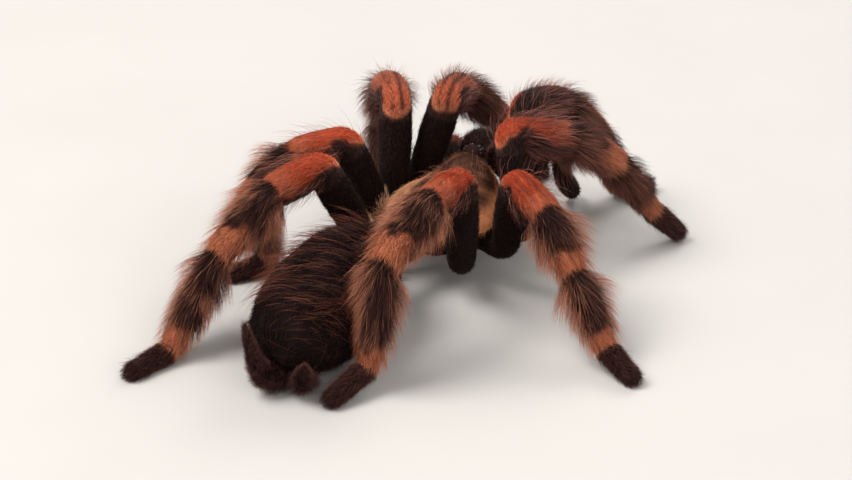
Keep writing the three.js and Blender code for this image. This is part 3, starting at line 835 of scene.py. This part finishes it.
def tube_hair(tube, marks, strip, strips, q0, q1, per_mm2, length, width, lean, settle, rings, seed,
              keep=None, scruff=0.25, shape=None, sweep=0.0):
    """Hair on a tube between q0 and q1. length and half width are means, lean and settle degrees.

    shape(q, angle) scales the length and adds to the lean, sweep turns the lie sideways, and scruff is how
    far the lie wanders. Long hair is golden or dark hair by hair. The bake patch lies at (along, around) in
    the form's strip of the map.
    """
    rng = np.random.default_rng(seed)
    q, angle = tube.scatter(per_mm2, q0, q1, rng, keep)
    n = len(q)
    p, normal, flow = tube.at(q, angle)
    scale, rise = shape(q, angle) if shape else (1.0, 0.0)
    wave = ripple(p, 0.9, seed + 1)
    size = length * scale * rng.uniform(0.65, 1.15, n)
    out = np.radians(lean + rise + 9 * wave + rng.normal(0, 5, n))
    end = np.radians(settle + rise * 0.5 + 6 * wave + rng.normal(0, 5, n))
    tangle = ripple(p, 1.4, seed + 2) + 0.7 * ripple(p, 0.45, seed + 3)
    sway = scruff * tangle + rng.normal(0, scruff * 0.4, n) + sweep
    warm, pale = marks(tube, q, angle, MARK_SEED)
    if marks is hair_marks:
        warm = (rng.uniform(0, 1, n) < warm) * 1.0
    along, around = (q - q0) / (q1 - q0), np.mod(angle / TAU, 1)
    uv = np.stack([0.002 + 0.99 * along, (strip + 0.01 + 0.96 * around) / strips], 1)
    thick = width * rng.uniform(0.75, 1.2, n)
    return grow(p, normal, flow, uv, warm, pale, size, thick, out, end, sway, rings, rng)


def leg_layer(name, legs, material, slot, q0, q1, marks=leg_marks, **how):
    """The same growth on several legs, as one coat piece."""
    seed = how.pop("seed")
    grown = [
        tube_hair(LEGS[i], marks, k, len(legs), q0, q1, seed=seed + 10 * i, **how) for k, i in enumerate(legs)
    ]
    return coat_piece(name, grown, material)


velvet = fur("black brown velvet", VELVET)
knee_fur = fur("orange knee fur", UNDERFUR, roughness=0.55)
shank_fur = fur("dark underfur with an orange band", UNDERFUR)
knee_hair = fur("dark pinkish knee hair", KNEE_HAIR, warm=KNEE_HAIR, pale=KNEE_HAIR, roughness=0.5)
pale_knee_hair = fur("long pale knee hair", PALE_KNEE, warm=PALE_KNEE, pale=PALE_KNEE, roughness=0.5)
jaw_hair = fur("maroon jaw hair", JAW_HAIR)
long_fur = fur("long golden hair over dark", DARK_HAIR, warm=LONG_HAIR, roughness=0.5, curve=1.3)
front_fur = fur("long brown hair over dark", DARK_HAIR, warm=FRONT_HAIR, roughness=0.5, curve=1.3)
foot_fur = fur("dark foot fur", FOOT)
belly_velvet = fur("black belly velvet", BELLY)
belly_hair = fur("long reddish belly hair", BELLY_HAIR, roughness=0.5)
# its pale colour is painted light on the rim's hind left
shield_felt = fur("brown shield felt", SHIELD_DARK, warm=SHIELD_TAN, pale=SHIELD_PAINTED_LIGHT)

guard_fur = fur("dark guard hair", UNDERFUR)
# hip hair in the painted light colour: pale, as if lit
painted_light_hip_fur = fur("hip hair with painted light", SHIELD_PAINTED_LIGHT, roughness=0.5)
foot_hair = fur("reddish brown foot hair", FOOT_HAIR)

skin = build_skin()
flesh = [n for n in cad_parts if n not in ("carapace", "eye_mound", "fangL", "fangR")]
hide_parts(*flesh)


def segment_flare(q, angle):
    """Long hair: longest and most upright where a segment starts, shorter toward its end, back and belly."""
    t = q - np.floor(q)
    start = np.exp(-((t / 0.28) ** 2))
    top, under = smooth((np.cos(angle) - 0.1) / 0.7), smooth((-np.cos(angle) - 0.3) / 0.5)
    side = 1.06 - 0.25 * top - 0.25 * under
    return side * (0.86 + 0.3 * start - 0.3 * t**3), 12 * start - 6 * t - 10 * top


def off_the_back(q, angle):
    """Share of long hairs kept: fewer on the back, fewest over the orange bands."""
    t = q - np.floor(q)
    edge = np.where(q < 4, 0.5, 0.68)
    back = smooth((np.cos(angle) - 0.25) / 0.5)
    return (1 - back * np.where(t > edge, 0.9, 0.3)) * np.where(t > edge, 0.7, 1)


def flanks(q, angle):
    """Share of hairs kept on a knee: mostly its flanks and its underside."""
    return np.where(np.cos(angle) > 0.35, 0.06, 1.0)


def knee_strands(q, angle):
    """Knee fur: longer down the flanks toward the far end."""
    return 1 + 0.7 * smooth((0.65 - np.cos(angle)) / 0.5) * smooth((q - 2.2) / 0.3), 0.0


def foot_tuft(q, angle):
    """Foot fur: longer at the start of the foot and around its toe."""
    t = q - 5
    toe = smooth((t - 0.7) / 0.25)
    return 0.85 + 0.5 * np.exp(-((t / 0.2) ** 2)) + 0.35 * toe, 10 * toe


def belly_clumps(q, angle):
    """Long belly hairs: longest along the back, in clumps that lean differently."""
    p = abdomen.at(q, angle)[0]
    return 0.8 + 0.25 * np.cos(angle) + 0.4 * ripple(p, 1.2, 41), 4 * np.cos(angle) + 12 * ripple(p, 1.7, 43)


def belly_patches(q, angle):
    """Share of long belly hairs kept: patchy, and fewest on the back and at the hind end."""
    patchy = smooth(0.35 + 0.8 * ripple(abdomen.at(q, angle)[0], 2.0, 47) - 0.3 * np.cos(angle - 0.5))
    return (0.06 + 0.9 * patchy) * (1 - 0.75 * smooth((q - 0.72) / 0.15))


def belly_velvet_depth(q, angle):
    """Belly velvet: uneven, and longer around the hind end."""
    uneven = ripple(abdomen.at(q, angle)[0], 1.0, 51)
    return 1 + 0.25 * uneven + 1.0 * smooth((q - 0.84) / 0.12), 10 * uneven


def off_the_lines(q, angle):
    """Share of knee fur kept: less on the bare lines."""
    return 1 - 0.7 * bare_lines(q, angle, 2.02, 2.86)


def knee_top(q, angle):
    """Share of pale knee hairs kept: all on the back, none under the knee."""
    return smooth((np.cos(angle) + 0.4) / 0.5)


def hip_top(q, angle):
    """Share of hip hairs kept: all on the back, fewer down the flanks, none under the hip."""
    return smooth((np.cos(angle) + 0.2) / 0.6)


def belly_back(q, angle):
    """Share of the longest belly hairs kept: only on the back, to the right of its middle."""
    return smooth((np.cos(angle + 0.5) - 0.1) / 0.5)


def finger_root(q, angle):
    """Spinneret fur: longer and more upright where it leaves the abdomen."""
    root = np.exp(-((q / 2.2) ** 2))
    return 1 + 0.9 * root, 14 * root


# Each group's long hair: its finish, and how much of the full length tibia and metatarsus have.
LONG_COATS = [("front", FRONT_LEGS, front_fur, 0.86, 0.68), ("hind", HIND_LEGS, long_fur, 1.0, 1.0)]
for tag, legs, long_coat, shank, shin in LONG_COATS:
    leg_layer(
        "femur_velvet_" + tag, legs, velvet, "velvet", 0.75, 1.97, seed=100, per_mm2=17, length=0.78,
        width=0.060, lean=34, settle=12, rings=1,
    )
    leg_layer(
        "knee_fur_" + tag, legs, knee_fur, "orange", 1.80, 3.0, seed=200, per_mm2=42, length=1.0, width=0.044,
        lean=22, settle=5, rings=1, scruff=0.12, keep=off_the_lines, shape=knee_strands,
    )
    leg_layer(
        "tibia_underfur_" + tag, legs, shank_fur, "banded", 2.97, 4.0, seed=300, per_mm2=20, length=1.45,
        width=0.052, lean=34, settle=12, rings=1,
    )
    leg_layer(
        "metatarsus_underfur_" + tag, legs, shank_fur, "banded", 3.98, 5.0, seed=400, per_mm2=20, length=1.3,
        width=0.052, lean=34, settle=12, rings=1,
    )
    leg_layer(
        "tibia_long_hair_" + tag, legs, long_coat, "banded", 2.94, 3.96, marks=hair_marks, seed=500,
        per_mm2=19, length=5.9 * shank, width=0.027, lean=50, settle=14, rings=2, keep=off_the_back,
        shape=segment_flare, scruff=0.2,
    )
    leg_layer(
        "metatarsus_long_hair_" + tag, legs, long_coat, "banded", 3.97, 4.93, marks=hair_marks, seed=550,
        per_mm2=19, length=5.5 * shin, width=0.027, lean=48, settle=14, rings=2, keep=off_the_back,
        shape=segment_flare, scruff=0.2,
    )
    leg_layer(
        "foot_fur_" + tag, legs, foot_fur, "foot", 4.98, 6.0, seed=600, per_mm2=38, length=1.2, width=0.048,
        lean=42, settle=20, rings=1, shape=foot_tuft,
    )
ALL_LEGS = FRONT_LEGS + HIND_LEGS
leg_layer(
    "foot_long_hair", ALL_LEGS, foot_hair, "foot", 4.98, 5.85, seed=650, per_mm2=3.2, length=2.3, width=0.030,
    lean=42, settle=12, rings=2, scruff=0.3,
)
leg_layer(
    "knee_long_hair", ALL_LEGS, knee_hair, "banded", 1.93, 3.0, seed=700, per_mm2=1.5, length=4.3,
    width=0.027, lean=55, settle=-10, rings=4, scruff=0.14, keep=flanks,
)
leg_layer(
    "knee_crest", [L1, R1, R2], knee_hair, "banded", 1.95, 2.95, seed=750, per_mm2=3.4, length=3.6,
    width=0.027, lean=48, settle=2, rings=4, scruff=0.18,
)
leg_layer(
    "knee_pale_hair", ALL_LEGS, pale_knee_hair, "banded", 1.9, 2.9, seed=780, per_mm2=0.8, length=5.4,
    width=0.024, lean=42, settle=-8, rings=4, scruff=0.2, keep=knee_top,
)
# the left hind hips only, paler as painted light
leg_layer(
    "hip_hair", [L3, L4], painted_light_hip_fur, "velvet", 0.45, 1.2, seed=820, per_mm2=15, length=2.0, width=0.032,
    lean=32, settle=4, rings=1, keep=hip_top,
)
leg_layer(
    "femur_long_hair", ALL_LEGS, guard_fur, "velvet", 1.1, 1.9, seed=800, per_mm2=1.3, length=1.5,
    width=0.036, lean=38, settle=18, rings=2,
)


def palp_layer(name, material, slot, q0, q1, **how):
    """The same growth on both palps, as one coat piece."""
    seed = how.pop("seed")
    grown = [tube_hair(t, palp_marks, k, 2, q0, q1, seed=seed + k, **how) for k, t in enumerate(PALP_TUBES)]
    return coat_piece(name, grown, material)


palp_layer(
    "palp_fur", shank_fur, "banded", 0.6, 5.0, seed=900, per_mm2=17, length=1.0, width=0.062, lean=34,
    settle=14, rings=1,
)
palp_layer(
    "palp_long_hair", knee_hair, "banded", 1.9, 4.1, seed=920, per_mm2=3.2, length=2.4, width=0.05, lean=42,
    settle=14, rings=3,
)


def body_layer(name, tubes, material, slot, q0, q1, **how):
    """The same growth on several body forms, as one coat piece."""
    seed = how.pop("seed")
    count = len(tubes)
    grown = [tube_hair(t, plain_marks, k, count, q0, q1, seed=seed + k, **how) for k, t in enumerate(tubes)]
    return coat_piece(name, grown, material)


SWEPT = -0.8  # the long belly hair lies toward the left, in radians
body_layer(
    "abdomen_velvet", [abdomen], belly_velvet, "abdomen", 0.02, 0.99, seed=1000, per_mm2=17, length=1.4,
    width=0.070, lean=32, settle=12, rings=1, shape=belly_velvet_depth,
)
body_layer(
    "abdomen_long_hair", [abdomen], belly_hair, "abdomen", 0.03, 0.98, seed=1010, per_mm2=2.2, length=4.8,
    width=0.030, lean=32, settle=-4, rings=3, sweep=SWEPT, keep=belly_patches, shape=belly_clumps,
)
body_layer(
    "abdomen_back_hair", [abdomen], belly_hair, "abdomen", 0.12, 0.75, seed=1015, per_mm2=0.8, length=7.0,
    width=0.032, lean=30, settle=-12, rings=4, scruff=0.2, sweep=SWEPT, keep=belly_back,
)
body_layer(
    "underside_velvet", [breast, waist], velvet, "velvet", 0.05, 0.95, seed=1020, per_mm2=16, length=0.8,
    width=0.06, lean=30, settle=12, rings=1,
)
body_layer(
    "jaw_fur", jaws, jaw_hair, "carapace", 0.3, 5.6, seed=1030, per_mm2=26, length=1.3, width=0.042, lean=38,
    settle=12, rings=1, scruff=0.4,
)
body_layer(
    "finger_velvet", fingers, foot_fur, "abdomen", 0.3, 5.9, seed=1040, per_mm2=40, length=1.3, width=0.042,
    lean=40, settle=16, rings=1, scruff=0.4, shape=finger_root,
)


# ---- shield with its eye mound -----------------------------------------------------------------------
PAINTED_LIGHT_AZIMUTH, CORNER_WIDTH = -1.9, 0.75  # azimuth and width of the rim's hind left part, paler as painted light, in radians
TUFT, TUFT_WIDTH = -2.2, 0.7  # and of its longer fringe
FELT_HAIRS, FRINGE_HAIRS = 18000, 3600


def shield_marks(rho, azimuth):
    """How tan the shield is: a tan rim, lighter rays between the grooves, a dark head and middle."""
    reach = rim_reach(azimuth) * rho
    x, y = reach * np.sin(azimuth), reach * np.cos(azimuth)
    ray = np.arctan2(x, y - PIT_Y) / TAU * RAYS
    between = np.abs(np.mod(ray, 1) - 0.5) * 2
    away = np.hypot(x, y - PIT_Y)
    rays = 0.25 * smooth(between * 1.4 - 0.2) * smooth((away - 1.5) / 3) * smooth((5.5 - y) / 3)
    rim = smooth((rho - 0.62 - 0.16 * smooth(y / 8)) / 0.24)
    speckle = ripple(np.stack([x, y, x * 0], -1), 0.35, 31) * 0.12
    return np.clip(rays + rim + speckle, 0, 1) * 0.92 + 0.04


def painted_light_corner(rho, azimuth):
    """How pale the shield is: only the hind left of its rim, paler as painted light."""
    return smooth((rho - 0.6) / 0.2) * np.exp(-(((azimuth - PAINTED_LIGHT_AZIMUTH) / CORNER_WIDTH) ** 2))


def build_shield():
    """Closed shield: polar rings from the floor's middle out to the rim, up over the dome to its top."""
    floor_rings, rings, around = 5, 44, 96
    rho = np.r_[np.linspace(0.25, 0.97, floor_rings), np.linspace(1.0, 0.02, rings)]
    floor = np.arange(len(rho)) < floor_rings
    azimuth = np.arange(around) / around * TAU
    r, a = np.repeat(rho, around), np.tile(azimuth, len(rho))
    top = shield_point(r, a)
    reach = (rim_reach(a) - SHIELD_COAT) * r
    base = SHIELD_FLOOR + 0.1
    low = on_body(np.stack([reach * np.sin(a), reach * np.cos(a), np.full(len(r), base)], -1))
    points = np.where(np.repeat(floor, around)[:, None], low, top)
    middle = np.zeros(1)
    points = np.vstack([on_body((0, 0, base)), points, shield_point(middle, middle)])
    tris = ring_faces(len(rho), around)[:, ::-1]
    u = np.r_[0, np.repeat(np.linspace(0.02, 0.98, len(rho)), around), 1]
    v = np.r_[0, a / TAU, 0]
    cv = v[tris]
    cv = np.where(cv.max(1, keepdims=True) - cv > 0.5, cv + 1, cv)
    uv = np.stack([u[tris], cv / 1.02], -1)
    tan = np.r_[1, shield_marks(r, a), shield_marks(middle, 0)]
    # painted light: the rim's hind left made paler
    pale = np.r_[0, painted_light_corner(r, np.where(a > math.pi, a - TAU, a)), 0]
    finish = skin_finish("shield", SHIELD_DARK, SHIELD_TAN, SHIELD_PAINTED_LIGHT, 0.00008, 0.6)
    piece = make_mesh("shield", points, tris, finish, uv, {"warm": tan, "pale": pale})
    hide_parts("carapace")
    return piece


def build_shield_felt():
    """Short felt over the shield and a fringe of tan hairs that stand out past its rim."""
    rng = np.random.default_rng(1100)
    n = FELT_HAIRS
    rho = np.sqrt(rng.uniform(0.0, 1.0, n)) * 0.995
    azimuth = rng.uniform(-math.pi, math.pi, n)
    p, normal, flow = shield_frame(rho, azimuth)
    tan = shield_marks(rho, azimuth)
    uv = np.stack([0.5 + 0.485 * rho * np.sin(azimuth), 0.5 + 0.485 * rho * np.cos(azimuth)], 1)
    length, thick = rng.uniform(0.45, 0.85, n), rng.uniform(0.036, 0.048, n)
    lean, settle = np.radians(rng.normal(26, 5, n)), np.radians(rng.normal(8, 5, n))
    sway = rng.normal(0, 0.25, n)
    # painted light: the rim's hind left made paler
    pale = painted_light_corner(rho, azimuth)
    felt = grow(p, normal, flow, uv, tan, pale, length, thick, lean, settle, sway, 1, rng)
    n = FRINGE_HAIRS
    rho = rng.uniform(0.86, 1.0, n)
    azimuth = rng.uniform(-math.pi, math.pi, n)
    p, normal, flow = shield_frame(rho, azimuth)
    uv = np.stack([0.5 + 0.49 * rho * np.sin(azimuth), 0.5 + 0.49 * rho * np.cos(azimuth)], 1)
    longer = 1 + 0.9 * np.exp(-(((azimuth - TUFT) / TUFT_WIDTH) ** 2))
    length, thick = rng.uniform(0.9, 1.9, n) * longer, rng.uniform(0.026, 0.036, n)
    lean, settle = np.radians(rng.normal(30, 8, n)), np.radians(rng.normal(-4, 8, n))
    sway = rng.normal(0, 0.35, n)
    # painted light: the rim's hind left made paler
    pale = painted_light_corner(rho, azimuth)
    fringe = grow(p, normal, flow, uv, np.ones(n), pale, length, thick, lean, settle, sway, 2, rng)
    return coat_piece("shield_felt", [felt, fringe], shield_felt)


build_shield()
build_shield_felt()

MOUND_MIDDLE = np.array([0, 8.3, 8.0])
MOUND_LONG, MOUND_WIDE, MOUND_HIGH, MOUND_COAT = 3.0, 4.0, 3.0, 0.25
mound = egg(
    on_body(MOUND_MIDDLE), FORWARD, RIGHT, MOUND_LONG, MOUND_WIDE, MOUND_HIGH, tail=1, coat=MOUND_COAT,
    steps=30,
)
p, f, q, a = mound.grid(28)
mound_finish = skin_finish("eye mound", SHIELD_DARK)
piece = make_mesh("eye_mound", p, f, mound_finish, None, {"warm": q * 0, "pale": q * 0})
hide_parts("eye_mound")
body_layer(
    "eye_mound_felt", [mound], shield_felt, "carapace", 0.05, 0.95, seed=1120, per_mm2=24, length=0.45,
    width=0.04, lean=34, settle=16, rings=1,
)

# Eyes of one side: the way out from the mound's middle (forward, across, up) in its half sizes, and radius.
EYES = [
    (0.55, 0.42, 0.80, 0.30), (0.80, 0.80, 0.42, 0.28), (-0.10, 0.78, 0.68, 0.22), (-0.35, 0.95, 0.42, 0.20),
]


def ball(centre, radius, rings=12, around=18):
    """Sphere of a centre and radius from rings between two poles."""
    polar = np.linspace(0, math.pi, rings + 2)[1:-1]
    a = np.arange(around) / around * TAU
    x, y = np.outer(np.sin(polar), np.cos(a)), np.outer(np.sin(polar), np.sin(a))
    z = np.outer(np.cos(polar), a * 0 + 1)
    ring = np.stack([x, y, z], -1).reshape(-1, 3)
    points = centre + radius * np.vstack([[0, 0, 1], ring, [0, 0, -1]])
    return points, ring_faces(rings, around)[:, ::-1]


def joined(parts):
    """Several (points, triangles) as one."""
    base, points, tris = 0, [], []
    for p, f in parts:
        points.append(p)
        tris.append(f + base)
        base += len(p)
    return np.vstack(points), np.vstack(tris)


MOUND_HALF = np.array([MOUND_WIDE, MOUND_LONG, MOUND_HIGH]) / 2
EYE_SUNK = 0.2  # share of its radius that an eye's middle lies inside the mound
eyes = []
for forward, right, up, radius in EYES:
    for side in (-1, 1):
        way = unit(np.array([side * right, forward, up]) * MOUND_HALF)
        reach = 1 / np.sqrt(((way / (MOUND_HALF - MOUND_COAT)) ** 2).sum())
        eyes.append(ball(on_body(MOUND_MIDDLE + way * (reach - radius * EYE_SUNK)), radius))
p, f = joined(eyes)
piece = make_mesh("eyes", p, f, horn_finish("glossy black eye", (0.004, 0.004, 0.005), 0.2, 0.2, 0.5))

horn = horn_finish("dark horn", (0.009, 0.0045, 0.0035), 0.3, 0.0, 0.25)
for letter, tube in zip("LR", fangs):
    p, f, _, _ = tube.grid(16)
    piece = make_mesh("fang_" + letter, p, f, horn)
    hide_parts("fang" + letter)


# A claw goes ahead by its reach and down by its drop, from a root above the toe's middle and beside it.
CLAW_REACH, CLAW_DROP, CLAW_RISE, CLAW_SPREAD = 0.75, 0.45, 0.35, 0.28
CLAW_THICK = 0.11  # half thickness at the root


def claw(tube, side):
    """A hook at the toe: a thin cone whose line goes ahead by sin(bend) and down by 1 - cos(bend)."""
    ring = -4  # the toe's end is still round there
    end, along, across, up = tube.c[ring], tube.t[ring], tube.a[ring], tube.u[ring]
    t = np.linspace(0, 1, 9)
    bend = t * math.pi / 2
    ahead = np.sin(bend) * CLAW_REACH + 0.1
    high = (1 - np.cos(bend)) * -CLAW_DROP + CLAW_RISE
    line = end + np.outer(ahead, along) + np.outer(high, up)
    line = line + side * CLAW_SPREAD * across
    thick = CLAW_THICK * (1 - t) ** 0.7 + 0.008
    made = Tube(line, np.repeat(across[None], len(t), 0), thick, thick, t)
    return made.grid(8)[:2]


p, f = joined([claw(t, s) for t in LEGS + PALP_TUBES for s in (-1, 1)])
p[:, 2] = np.maximum(p[:, 2], CLAW_GROUND)
piece = make_mesh("claws", p, f, horn)

# ---- floor, light and camera -------------------------------------------------------------------------
bpy.ops.mesh.primitive_plane_add(size=6.0)
floor = bpy.context.object
floor.name = "floor"
s = Shader("pale floor")
mottled = s.mix(s.noise(30.0), (0.48, 0.465, 0.45), (0.52, 0.505, 0.49))
floor.data.materials.append(s.finish(mottled, 0.85))

world = bpy.data.worlds.new("soft room")
world.use_nodes = True
sky = world.node_tree.nodes["Background"].inputs
sky["Color"].default_value = (0.92, 0.90, 0.88, 1)
sky["Strength"].default_value = 0.55
bpy.context.scene.world = world


MODEL_MIDDLE = np.array([0, 0, 0.01])  # in metres


def softbox(name, place, power, size, color):
    """Square area light at a place in metres, aimed at the model's middle."""
    data = bpy.data.lights.new(name, "AREA")
    data.energy, data.size, data.color = power, size, color
    lamp = bpy.data.objects.new(name, data)
    bpy.context.scene.collection.objects.link(lamp)
    lamp.location = place
    look = np.array(place) - MODEL_MIDDLE
    yaw = math.atan2(look[0], -look[1])
    lamp.rotation_euler = (math.atan2(math.hypot(look[0], look[1]), look[2]), 0, yaw)


softbox("key", (-0.35, -0.30, 0.75), 9.0, 0.5, (1.0, 0.97, 0.93))
softbox("fill", (0.65, -0.45, 0.45), 3.5, 0.6, (1.0, 0.98, 0.96))
softbox("back", (0.1, 0.75, 0.60), 4.5, 0.5, (1.0, 0.97, 0.94))

CAMERA_AZIMUTH, CAMERA_RISE, CAMERA_FAR = 28.94, 27.04, 432.9  # degrees, degrees, pose millimetres
CAMERA_LENS, SENSOR = 114.1, 36.0
AIM = np.array([-7.5, 5.9, 0.0])  # the spot on the floor that the camera looks at
a, e = math.radians(CAMERA_AZIMUTH), math.radians(CAMERA_RISE)
back = np.array([math.sin(a) * math.cos(e), -math.cos(a) * math.cos(e), math.sin(e)])
data = bpy.data.cameras.new("camera")
data.lens, data.sensor_width = CAMERA_LENS, SENSOR
data.clip_start, data.clip_end = 0.01, 20.0
camera = bpy.data.objects.new("camera", data)
bpy.context.scene.collection.objects.link(camera)
camera.location = (AIM - ORIGIN + back * CAMERA_FAR) * MM
camera.rotation_euler = (math.pi / 2 - e, 0, a)
bpy.context.scene.camera = camera
bpy.context.scene.view_settings.view_transform = "Standard"
